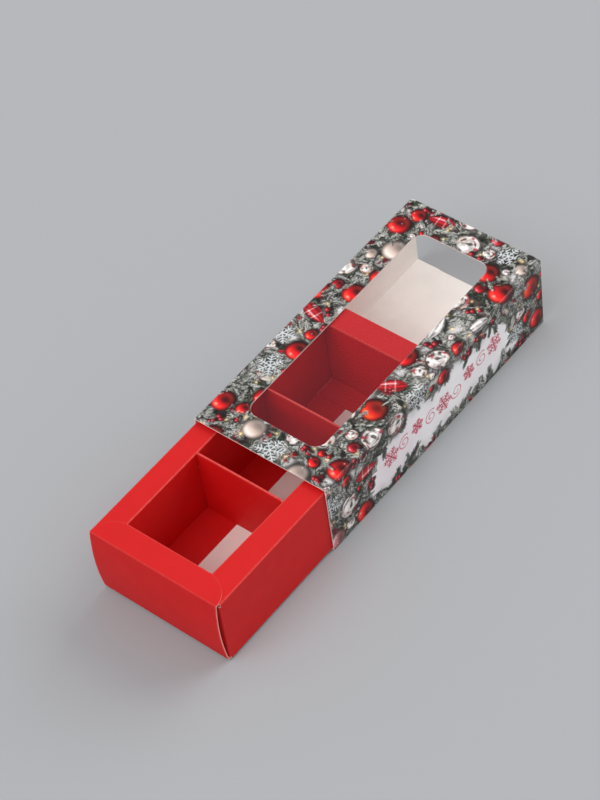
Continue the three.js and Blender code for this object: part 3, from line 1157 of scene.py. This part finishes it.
# %% Mirrored balls
def mirror_colour(a, b, out):
    """Silver. What it mirrors is squeezed towards its rim: irregular grey, warm, dark and red fragments,
    which are thresholds on nets of random values in angle and radius. In the middle stand one dark figure
    and a glare."""
    angle = np.arctan2(b, a) / (2 * math.pi) % 1

    def fragments(cells, low, high, start):
        """Cover of fragments: that many cells round the ball, thresholds low to high, from start outwards."""
        net = chance.random((8, cells + 1))
        net[:, -1] = net[:, 0]
        value = between(net, out.clip(0, 1) * 6.5, angle * cells)
        return smooth_step(low, high, value) * smooth_step(start - 0.12, start + 0.12, out)

    heading, aside = any_heading(), a - chance.uniform(0.0, 0.25)
    p = aside * math.cos(heading) + b * math.sin(heading)
    q = b * math.cos(heading) - aside * math.sin(heading)
    figure = 0.8 * smooth_step(1.3, 0.6, np.hypot(p / 0.36, q / 0.12) + 0.4 * np.sin(9 * p))
    rim = 0.7 * smooth_step(0.05, 0.02, abs(out - 0.94)) + 0.35 * smooth_step(0.8, 1.0, out)
    colour = ink(242, 238, 236) * np.ones((*out.shape, 1))
    for tint, share in (
        (ink(186, 178, 174), 0.8 * fragments(7, 0.4, 0.7, 0.1)),
        (ink(214, 182, 158), 0.6 * fragments(8, 0.55, 0.8, 0.4)),
        (ink(60, 50, 48), 0.85 * fragments(15, 0.55, 0.72, 0.5)),
        (ink(164, 30, 42), 0.8 * fragments(12, 0.7, 0.84, 0.45)),
        (ink(56, 46, 44), np.maximum(figure, rim)),
    ):
        colour = blend(colour, tint, share[..., None])
    from_glare = np.hypot(a + 0.34, (b - chance.uniform(-0.3, 0.3)) / 1.4)
    glare = 0.9 * smooth_step(0.34, 0.1, from_glare)[..., None]
    return blend(colour, ink(255, 254, 252), glare)


print("mirrored balls ready")


# %% Painted balls
LIGHT_ALONG, LIGHT_UP = -0.62, 0.72  # where the printed light comes from


def ball(along, around, radius, kind):
    """A printed ball. Brightness is the unlit share plus the lit share times the cosine to the light, which
    comes from the near end and, on the sides, from above."""
    cast_shadow(along, around, radius)
    area = area_round(along, around, radius * 1.2)
    if area is None:
        return
    a, b = area[2] / radius, area[3] / radius
    out = np.hypot(a, b)
    cover = soft_edge((out - 1) * radius)
    if kind == "mirror":
        lay(area, mirror_colour(a, b, out), cover)
        return
    colour, unlit, lit, room, dark, highlight = BALLS[kind]
    upward = -0.25 if around > SLEEVE_SIDE else 0.25
    up = np.sqrt((1 - out * out).clip(0, 1))
    cosine = (LIGHT_ALONG * a + upward * b + LIGHT_UP * up).clip(0, 1)
    rim = smooth_step(0.62, 1.0, out)
    from_a, from_b = a - chance.uniform(0.08, 0.3), b - chance.uniform(-0.3, 0.1)
    mirrored = np.exp(-((from_a / 0.34) ** 2 + (from_b / 0.5) ** 2))
    shade = (unlit + lit * cosine) * (1 - dark * rim) * (1 - room * mirrored)
    crescent = smooth_step(0.4, 0.62, out) * smooth_step(0.98, 0.7, out)
    towards = (-0.9 * a + 1.4 * upward * b) / np.maximum(out, 0.05)
    glare = crescent * (0.62 * smooth_step(0.3, 1.0, towards) + 0.22 * smooth_step(0.4, 1.0, -towards))
    if radius < 2:
        glare = 0.7 * blob(a, b, -0.32, upward, 0.3)
    painted = blend(colour * shade[..., None], highlight, glare[..., None])
    window = 0.6 * blob(a, b, -0.55, upward, 0.13)[..., None]
    lay(area, blend(painted, ink(255, 246, 240), window), cover)


def cap(along, around, radius, heading):
    """A ball's metal cap, 0.8 by 1.5 mm, and the ring of its loop."""
    area = area_round(along + math.cos(heading) * radius, around + math.sin(heading) * radius, 2.2)
    if area is not None:
        p, q = turned(area, heading)
        shade = 0.6 + 0.5 * smooth_step(-0.6, 0.5, q) + 0.12 * np.sin(16 * q)
        lay(area, ink(205, 186, 140) * shade[..., None], soft_edge(np.maximum(abs(p) - 0.42, abs(q) - 0.75)))
        lay(area, ink(188, 178, 160), soft_edge(abs(np.hypot(p - 0.95, q) - 0.5) - 0.13))


print("painted balls and their caps ready")

# %% [markdown]
# ### Snow crystals, drops, leaves and small things
#
# A six-pointed crystal is one arm: the angle round the middle is folded into a single sector of 30 degrees,
# and what is drawn there shows twelve times. A drop is a long pointed shape with ribs. Berries are small
# deep red balls.

# %% Snow crystals
BRANCHES = ((0.3, 0.18), (0.52, 0.34), (0.76, 0.22))  # start on the arm and length, in shares of the arm


def crystal_distance(area, radius, heading):
    """Distance to a six-pointed crystal: the arm is a straight line, with branches at 60 degrees to it."""
    out, angle = np.hypot(area[2], area[3]), np.arctan2(area[3], area[2]) - heading
    folded = abs((angle + math.pi / 6) % (math.pi / 3) - math.pi / 6)
    p, q = out * np.cos(folded), out * np.sin(folded)
    distance = np.hypot(p - p.clip(0, radius), q)
    for start, size in BRANCHES:
        from_p = p - start * radius
        reach = (from_p * 0.5 + q * 0.866).clip(0, size * radius)
        distance = np.minimum(distance, np.hypot(from_p - reach * 0.5, q - reach * 0.866))
    return distance


def crystal(along, around, radius, colour, width, shadow=0.75):
    """A crystal over a dark shadow of itself, which keeps its arms apart from the spruce."""
    heading = any_heading()
    under = area_round(along + 0.3, around + 0.35, radius * 1.1)
    area = area_round(along, around, radius * 1.1)
    if area is None or under is None:
        return
    away = crystal_distance(under, radius, heading) / width
    lay(under, ink(18, 23, 23), shadow * smooth_step(0.9, 0.3, away))
    lay(area, colour, 0.96 * soft_edge(crystal_distance(area, radius, heading) - width / 2))


print(f"a crystal has {6 * 2 * len(BRANCHES)} branches")


# %% Drops and leaves
def drop(along, around, length, body, groove):
    """Half width is a sine of the share along it, to a power that fattens it towards one end. The ribs are
    a sine of the angle round it, and a glint runs down one side."""
    heading = any_heading()
    cast_shadow(along, around, length * 0.28, 0.5)
    area = area_round(along, around, length * 0.6)
    if area is None:
        return
    p, q = turned(area, heading)
    share = p / length + 0.5
    half = 0.23 * length * np.sin(np.pi * share.clip(0.001, 0.999) ** 0.75) ** 0.85
    across = (q / np.maximum(half, 0.05)).clip(-1, 1)
    rib = (0.5 + 0.5 * np.sin(7 * np.arcsin(across) + 0.6 * np.sin(6 * share)))[..., None]
    colour = blend(groove, body, rib) * (0.55 + 0.5 * np.sqrt(1 - across**2))[..., None]
    band = smooth_step(0.03, 0, abs(share - 0.33)) + smooth_step(0.03, 0, abs(share - 0.6))
    colour = blend(colour, ink(236, 226, 214), 0.7 * band[..., None])
    glint = np.exp(-(((across + 0.35) / 0.16) ** 2)) * smooth_step(0.15, 0.4, share)
    glint *= smooth_step(0.95, 0.6, share)
    outside = np.maximum(abs(q) - half, (abs(share - 0.5) - 0.5) * length)
    lay(area, colour + 0.65 * glint[..., None], soft_edge(outside))


def leaf(along, around, length):
    """A leaf, frosted or dark red, curved along its length, with a darker middle vein."""
    area = area_round(along, around, length)
    if area is None:
        return
    p, q = turned(area, any_heading())
    share = (p / length).clip(0, 1)
    off_vein = q - 0.06 * length * np.sin(3 * share)
    half = 0.17 * length * np.sin(np.pi * share**0.8) + 0.02
    tone = chance.random()
    pale, deep = ink(206, 200, 190), ink(150, 150, 134)
    if chance.random() < 0.5:
        pale, deep = ink(164, 34, 46), ink(104, 14, 26)
    shade = 1 - 0.28 * smooth_step(0.12, 0, abs(off_vein)) + 0.1 * (off_vein > 0)
    outside = np.maximum(abs(off_vein) - half, np.maximum(-p, p - length))
    lay(area, blend(deep, pale, tone) * shade[..., None], 0.95 * soft_edge(outside))


print("drops and leaves ready")


# %% Lights and scrolls
def glow(along, around, colour, size, strength=0.9):
    """A small soft light or a speck of snow."""
    area = area_round(along, around, 2.4 * size + 0.2)
    if area is not None:
        lay(area, colour, strength * blob(area[2], area[3], 0, 0, size))


def scroll(along, around, size, turns, colour):
    """A thin scroll: a spiral whose radius shrinks evenly with its angle, drawn as short overlapping dots."""
    start = any_heading()
    for share in np.linspace(0, 1, int(size * 16)):
        angle, reach = start + share * turns * 2 * math.pi, size * (1 - 0.8 * share)
        area = area_round(along + reach * math.cos(angle), around + reach * math.sin(angle), 0.6)
        if area is not None:
            lay(area, colour, 0.8 * soft_edge(np.hypot(area[2], area[3]) - 0.28 * (1 - 0.5 * share)))


print("lights and scrolls ready")

# %% [markdown]
# ### Placing the motifs
#
# Large motifs are thrown at random like darts, and one sticks only where it keeps clear of those already
# there. Then come smaller ones in the gaps, and berries. Short sprigs reach over the motifs' edges, never
# over their middles, so that nothing looks pasted on. The pale field of each side gets a row of thin
# crimson crystals and scrolls.

# %% Lots and darts
LARGE = {  # how often each kind comes
    "glossy red": 10,
    "satin red": 3,
    "mirror": 8,
    "pearl": 2,
    "pink": 1,
    "crystal": 6,
    "red drop": 3,
    "silver drop": 1,
}
SMALL = ["glossy red", "mirror", "pearl", "glossy red", "deep red", "mirror"]
large_names = [name for name, share in LARGE.items() for _ in range(share)]
taken = []


def large_motif(along, around, radius):
    """One of the large kinds, drawn by lot."""
    kind = large_names[chance.integers(len(large_names))]
    if kind == "crystal":
        crystal(along, around, radius * 1.1, ink(222, 226, 228), 0.5)
    elif kind == "red drop":
        drop(along, around, radius * 2.6, ink(196, 24, 34), ink(116, 8, 18))
    elif kind == "silver drop":
        drop(along, around, radius * 2.6, ink(226, 222, 220), ink(116, 108, 108))
    else:
        cap(along, around, radius, any_heading())
        ball(along, around, radius, kind)


def small_motif(along, around, radius):
    """One of the small balls, drawn by lot."""
    ball(along, around, radius, SMALL[chance.integers(len(SMALL))])


def berry_cluster(along, around, radius):
    """Three to five berries, thrown about the place with a spread of 1.6 mm. The radius is not used here: it
    is only the room that throw keeps free round the cluster."""
    for _ in range(chance.integers(3, 6)):
        aside, down, berry = chance.normal(0, 1.6), chance.normal(0, 1.6), chance.uniform(1.0, 1.4)
        ball(along + aside, around + down, berry, "deep red")


def room_left(along, around, radius, spacing):
    """Whether a disc there keeps that share of both radii from every motif so far."""
    return all(math.hypot(along - x, around - y) > spacing * (radius + r) for x, y, r in taken)


def throw(darts, sizes, least, paint, spacing, most, fringe=False):
    """Paints a motif at each dart that has room left round it, up to the most."""
    stuck = 0
    for along, around in scatter(darts, least, fringe):
        radius = chance.uniform(*sizes)
        if stuck < most and room_left(along, around, radius, spacing):
            taken.append((along, around, radius))
            paint(along, around, radius)
            stuck += 1
    return stuck


print(f"{len(large_names)} lots for the large motifs")

# %% Placing the motifs
for along, around in scatter(60, 1.5):  # snow out of focus
    glow(along, around, ink(238, 233, 234), chance.uniform(1.6, 3.4), 0.85)
for along, around in scatter(90, 0.5):
    leaf(along, around, chance.uniform(4.5, 8))
for along, around in scatter(300, 0.3):
    sprig(along, around, any_heading(), chance.uniform(0.5, 0.8), "grey", chance.uniform(0.7, 1.2))
counts = {
    "large motifs": throw(3000, (4.6, 5.6), 2.4, large_motif, 1.1, 54),
    "small balls": throw(2600, (2.6, 3.6), 1.0, small_motif, 1.0, 40),
    "berry clusters": throw(2000, (2.2, 2.8), 0.3, berry_cluster, 1.0, 44, True),
    "beads": throw(700, (1.3, 1.7), 0.5, small_motif, 1.05, 24),
}
for along, around in scatter(520, 0.6):  # sprigs over the motifs' edges
    if room_left(along, around, 0.0, 0.86):
        greens = ["plain", "grey", "grey"][chance.integers(3)]
        sprig(along, around, any_heading(), chance.uniform(0.3, 0.5), greens, chance.uniform(0.4, 1.0))
for along, around in scatter(110, 0.5):  # small lamps, each a halo and a bright core
    if room_left(along, around, 0.0, 1.0):
        glow(along, around, ink(255, 206, 120), 0.9, 0.5)
        glow(along, around, ink(255, 246, 214), 0.34, 1.0)
for along, around in scatter(420, -3.5):  # specks of snow
    glow(along, around, ink(244, 242, 240), chance.uniform(0.14, 0.34))
print(counts)

# %% Row on the pale fields
CRIMSON = ink(190, 20, 54)
SCROLL_INK = ink(192, 22, 56)
FIELD_DOWN = 18.6  # from the top crease to the middle of the field

for side in (-1, 1):
    for step, along in enumerate(np.linspace(-30, 35, 9)):
        down = FIELD_DOWN + 1.6 * math.sin(1.1 * step) * side
        if step % 2 == 0:
            size = 3.5 if step % 4 else 4.6
            crystal(along, side * (SLEEVE_SIDE + down), size, CRIMSON, 0.42, 0.0)
        else:
            scroll(along, side * (SLEEVE_SIDE + down + 1.2), 3.6, 1.6, SCROLL_INK)
print(f"the canvas is {canvas.mean():.2f} bright on average")


# %% Print colour of a place
def print_colour(along, around):
    """The canvas at (along, around), as the linear colour that an attribute stores."""
    column = ((along + SLEEVE_HALF) * DOTS - 0.5).clip(0, columns - 1.001)
    row = ((around + HALF_GIRTH) * DOTS - 0.5).clip(0, rows - 1.001)
    shown = np.stack([between(canvas[..., k], row, column, smooth=False) for k in range(3)], -1)
    return np.concatenate([uncurved(shown), np.ones((*shown.shape[:-1], 1))], -1)


beside_window = print_colour(np.linspace(-66, 66, 200), np.full(200, 24.0))
print("mean print colour beside the window:", beside_window[:, :3].mean(0).round(3))

# %% [markdown]
# ## The sleeve
#
# The sleeve is one strip of printed card, folded round into a tube and glued along one bottom edge. Its
# panels are made like the tray's, with one difference. The print is stored on the vertices, so wherever
# there is print they stand about a quarter of a millimetre apart, and the unprinted inside keeps only a few
# rows. The two sides take both of their creases with them, and the left one stops above the glue flap.


# %% Panels of the sleeve
PRINT_GAP = 0.25  # between stations and rows on the printed side


def make_sleeve_card(name, node, grid, finish, creases, cuts, colour, closed=False):
    """A piece of the sleeve from its grid, with its marks and its print."""
    marks = {"crease": creases.ravel(), "cut": cuts.ravel(), "print": colour.reshape(-1, 4)}
    make_card(name, node, "sleeve", PRINT_FINISHES, [(grid, finish, closed, [])], marks)


def sweep_print(name, node, stations, face, back, around, carry, creases, slot="printed_card"):
    """A panel from the rows of its face and of its back. around is how far round the unfolded sleeve each
    row of the face lies, which is where it takes its print from."""
    loop, finish = close_loop(face, back)
    if slot == "white_card":
        finish[:] = BACK
    colour = np.ones((len(stations), len(loop), 4))
    colour[:, : len(face)] = print_colour(*np.broadcast_arrays(stations[:, None], around))
    creases = np.tile(creases, (len(stations), 1))
    # a pale line of wear and painted highlight along the sleeve's cut ends
    cuts = np.tile(edge_marks(SLEEVE_HALF - abs(stations))[:, None], len(loop))
    make_sleeve_card(name, node, sweep(loop, stations, carry), finish, creases, cuts, colour)


def side_panel(side_name, side, foot):
    """One side with its two creases, at |y| and z, swept along x. Its back keeps only the rows at both
    ends, which are those of the creases."""
    outer, top = SLEEVE_SIDE - HALF, SLEEVE_TOP - HALF
    corners = [(outer - R, top), (outer, top), (outer, foot), (outer - R, foot)]
    # both creases of a side get the full pale line of wear and painted highlight
    places, normals, creased = middle_line(corners, {1: 1.0, 2: 1.0}, PRINT_GAP)
    face = places + normals * HALF
    steps = np.linalg.norm(np.diff(face, axis=0), axis=1)
    around = side * (SLEEVE_SIDE - HALF - R + np.concatenate([[0], np.cumsum(steps)]))
    kept = np.unique(np.concatenate([np.arange(8), np.arange(len(places) - 8, len(places))]))[::-1]
    back = (places - normals * HALF)[kept]
    stations = np.linspace(-SLEEVE_HALF, SLEEVE_HALF, int(round(2 * SLEEVE_HALF / PRINT_GAP)) + 1)
    carry = lambda along, across, up: (along, side * across, up)
    name, node = f"sleeve_{side_name}_side_card", f"sleeve_{side_name}_side"
    sweep_print(name, node, stations, face, back, around, carry, np.concatenate([creased, creased[kept]]))


print(f"printed sides have a row and a station every {PRINT_GAP} mm")

# %% Sleeve sides
glue_low, glue_high = span("sleeve_glue_flap")
side_panel("right", -1, HALF)
side_panel("left", 1, glue_low[2] + HALF)

# %% [markdown]
# ### Bottom and glue flap
#
# The bottom is one flat panel. Its print faces down and runs on from the sides, so the low fringe of spruce
# turns the corner. The glue flap lies on it inside the tube, with its bare back up. Its free edge is cut at
# a slant, which gives it a soft end that the tray doesn't catch on.


# %% Sleeve bottom and glue flap
SLANT = 0.85 * BOARD  # how much lower the glue flap's face ends than its back


def flat_panel(name, node, y_run, z, up, gap, slot):
    """A flat panel across y, swept along x. up is the way its face looks, 1 or -1."""
    across = np.linspace(*y_run, int(abs(y_run[1] - y_run[0]) / gap) + 1)
    face, back = (np.stack([across, np.full(len(across), z + way * HALF)], 1) for way in (up, -up))
    if slot == "white_card":
        face[-1, 1] -= SLANT
    stations = np.linspace(-SLEEVE_HALF, SLEEVE_HALF, int(2 * SLEEVE_HALF / gap) + 1)
    girth = SLEEVE_SIDE + SLEEVE_TOP + SLEEVE_SIDE
    around = np.where(across >= 0, girth - across, -girth - across)
    carry = lambda along, across, up: (along, across, up)
    sweep_print(name, node, stations, face, back[[-1, 0]], around, carry, np.zeros(len(face) + 2), slot)


bottom_run = (-SLEEVE_SIDE + HALF + R, SLEEVE_SIDE)
glue_run, glue_z = (glue_high[1] + HALF - R, glue_low[1]), glue_low[2] + HALF
flat_panel("sleeve_bottom_card", "sleeve_bottom", bottom_run, HALF, -1, 0.4, "printed_card")
flat_panel("sleeve_glue_flap_card", "sleeve_glue_flap", glue_run, glue_z, 1, 2.0, "white_card")

# %% [markdown]
# ### Top with its window
#
# A panel with a hole can't be one rectangle of rows. Its grid goes round the window instead: each spoke
# starts on the panel's outline and ends on the window's edge. So the rows close up round the hole, its
# corners stay round, and no face has to be cut.

# %% Sleeve top with its window
WINDOW_CORNER = 5.0
FILM_OVERLAP = 5.0  # how far the film reaches past the window
SPOKE_ROWS = 50
film_low, film_high = span("window_film")
window_low, window_high = film_low + FILM_OVERLAP, film_high - FILM_OVERLAP


def outline_leg(axis, corner, reach, signs, count, outwards):
    """Places along one leg of the outline, beside a corner of the window: out from the window's corner to
    the outline's, or back."""
    share = np.arange(count) / count
    leg = np.empty((count, 2))
    leg[:, axis] = corner[axis] + signs[axis] * reach[axis] * (share if outwards else 1 - share)
    leg[:, 1 - axis] = corner[1 - axis] + signs[1 - axis] * reach[1 - axis]
    return leg


def window_contour(gap):
    """Matching places on the window's cut edge and on the panel's outline, going round once. A straight
    stretch of the window faces the outline squarely. A quarter circle of it faces the two legs that meet in
    the outline's corner."""
    outline = np.array([SLEEVE_HALF, SLEEVE_SIDE - HALF - R])
    low, high = window_low[:2] + WINDOW_CORNER, window_high[:2] - WINDOW_CORNER
    signs = np.array([(-1, -1), (1, -1), (1, 1), (-1, 1)])
    corners = np.where(signs > 0, high, low)
    inner, outer = [], []
    for k, (corner, way) in enumerate(zip(corners, signs)):
        reach = outline - abs(corner)
        counts = np.round(reach / gap).astype(int)
        first = 1 - k % 2  # the leg along y comes first at the corners after a short side
        for axis, outwards in ((first, True), (1 - first, False)):
            outer.append(outline_leg(axis, corner, reach, way, counts[axis], outwards))
        angle = math.pi + k * math.pi / 2 + np.linspace(0, math.pi / 2, counts.sum() + 1)
        arc = corner + WINDOW_CORNER * np.stack([np.cos(angle), np.sin(angle)], 1)
        inner.append(arc[:-1])
        move = corners[(k + 1) % 4] - corner
        count = int(round(np.linalg.norm(move) / gap))
        along = np.arange(count)[:, None] / count * move
        squarely = np.where(np.arange(2) == first, way * outline, corner)
        inner.append(arc[-1] + along)
        outer.append(squarely + along)
    return np.concatenate(inner), np.concatenate(outer)


def top_panel():
    """One closed ring: from the outline in to the window on top, down its cut edge, and back underneath."""
    inner, outer = window_contour(0.26)
    count = SPOKE_ROWS
    top = outer[:, None] + (inner - outer)[:, None] * np.linspace(0, 1, count)[None, :, None]
    grid = np.empty((len(inner), count + 2, 3))
    grid[:, :count, :2], grid[:, count, :2], grid[:, count + 1, :2] = top, inner, outer
    grid[:, :count, 2], grid[:, count:, 2] = SLEEVE_TOP, SLEEVE_TOP - BOARD
    finish = np.array([FACE] * (count - 1) + [CUT, BACK, CUT])
    colour = np.ones((*grid.shape[:2], 4))
    colour[:, :count] = print_colour(top[..., 0], top[..., 1])
    to_window = np.linalg.norm(top - inner[:, None], axis=2)
    # a pale line of wear and painted highlight round the window and along the cut ends
    cuts = np.zeros(grid.shape[:2])
    cuts[:, :count] = np.maximum(edge_marks(to_window), edge_marks(SLEEVE_HALF - abs(top[..., 0])))
    make_sleeve_card("sleeve_top_card", "sleeve_top", grid, finish, 0 * cuts, cuts, colour, closed=True)


top_panel()

# %% [markdown]
# ## Window film
#
# Clear film shows itself only by what it adds: a faint milky veil over what lies under it, and soft
# reflections. The veil is a little alpha with a dark grey colour on each face of the sheet. The sheet sags
# a tenth of a millimetre inside the window and is slightly wavy, which breaks up its reflections.

# %% Window film
film_material, film_tree, film_shader = start_material("clear film", roughness=0.07, specular=0.5)
fill_sockets(film_tree, film_shader, {"Base Color": (0.1, 0.11, 0.14, 1), "Alpha": 0.065})
grain_bump(film_tree, film_shader, noise(film_tree, object_place(film_tree), 60.0, 1.0), 0.0002)


def film_sheet():
    """A thin closed sheet, glued down round the window. Inside it sags by a sine of the share along times
    a sine of the share across, times a tenth of a millimetre with slow waves."""
    x = np.linspace(film_low[0], film_high[0], 61)[:, None]
    y = np.linspace(film_low[1], film_high[1], 25)[None]
    share_x = ((x - window_low[0]) / (window_high[0] - window_low[0])).clip(0, 1)
    share_y = ((y - window_low[1]) / (window_high[1] - window_low[1])).clip(0, 1)
    depth = 0.1 + 0.03 * np.sin(x * 0.16 + 1.0) * np.cos(y * 0.21)
    upper = film_high[2] - np.sin(np.pi * share_x) * np.sin(np.pi * share_y) * depth
    face = np.stack(np.broadcast_arrays(x, y, upper), -1)
    back = face[:, ::-1] - [0, 0, film_high[2] - film_low[2]]
    grid = np.concatenate([face, back], 1)
    parts = [(grid, FACE, False, [])]
    make_card("window_film_sheet", "window_film", "sleeve", [film_material], parts, {})


film_sheet()

# %% [markdown]
# ## Floor and light
#
# The photograph was taken on pale grey paper with wide, soft lights. Two things light the scene: an even
# dome, and two lamps so broad that their shadows have no edge. One lamp stands behind the near end at about
# 50 degrees, the other lower, past the far end, where it shines in through the open sleeve. Together they
# give an upward surface about as much light as plain white needs. What the camera and reflections see of
# the world is the grey of the paper.

# %% Floor
floor_material, floor_tree, floor_shader = start_material("floor paper", roughness=0.9, specular=0.1)
fill_sockets(floor_tree, floor_shader, {"Base Color": linear(171, 173, 176)})
FLOOR_HALF = 6.0
corners = [(x * FLOOR_HALF, y * FLOOR_HALF, 0) for x, y in ((-1, -1), (1, -1), (1, 1), (-1, 1))]
floor_mesh = bpy.data.meshes.new("floor")
floor_mesh.from_pydata(corners, [], [(0, 1, 2, 3)])
floor_mesh.materials.append(floor_material)
floor = bpy.data.objects.new("floor", floor_mesh)
floor.location.z = -0.00005  # just under the box, so that the two faces don't flicker
bpy.context.scene.collection.objects.link(floor)
print(f"floor of {2 * FLOOR_HALF:.0f} m")

# %% Light
DOME_STRENGTH = 0.58
LAMP_ANGLE = 50  # how wide a lamp looks from the box, in degrees

world = bpy.data.worlds.new("studio")
bpy.context.scene.world = world
world.use_nodes = True
sky = world.node_tree
lighting = sky.nodes["Background"]
fill_sockets(sky, lighting, {"Color": (1, 1, 1, 1), "Strength": DOME_STRENGTH})
shown = add_node(sky, "ShaderNodeBackground", {"Color": linear(180, 181, 183), "Strength": 1.0})
rays = add_node(sky, "ShaderNodeLightPath").outputs
seen = rays["Is Camera Ray"]
for kind in ("Is Glossy Ray", "Is Transmission Ray"):
    seen = reckon(sky, "MAXIMUM", seen, rays[kind])
mixed = add_node(sky, "ShaderNodeMixShader", {0: seen, 1: lighting.outputs[0], 2: shown.outputs[0]})
fill_sockets(sky, sky.nodes["World Output"], {"Surface": mixed.outputs[0]})


def soft_lamp(name, energy, direction):
    """A sun lamp as wide as a softbox, shining from that direction."""
    lamp = bpy.data.lights.new(name, "SUN")
    lamp.energy = energy
    lamp.angle = math.radians(LAMP_ANGLE)
    shining = bpy.data.objects.new(name, lamp)
    shining.rotation_mode = "QUATERNION"
    shining.rotation_quaternion = Vector(direction).to_track_quat("Z", "Y")
    bpy.context.scene.collection.objects.link(shining)


soft_lamp("near lamp", 1.22, (-0.64, 0.08, 0.77))
soft_lamp("far lamp", 1.56, (0.82, -0.2, 0.53))
print(f"light: a dome of {DOME_STRENGTH}, and two lamps {LAMP_ANGLE} degrees wide")
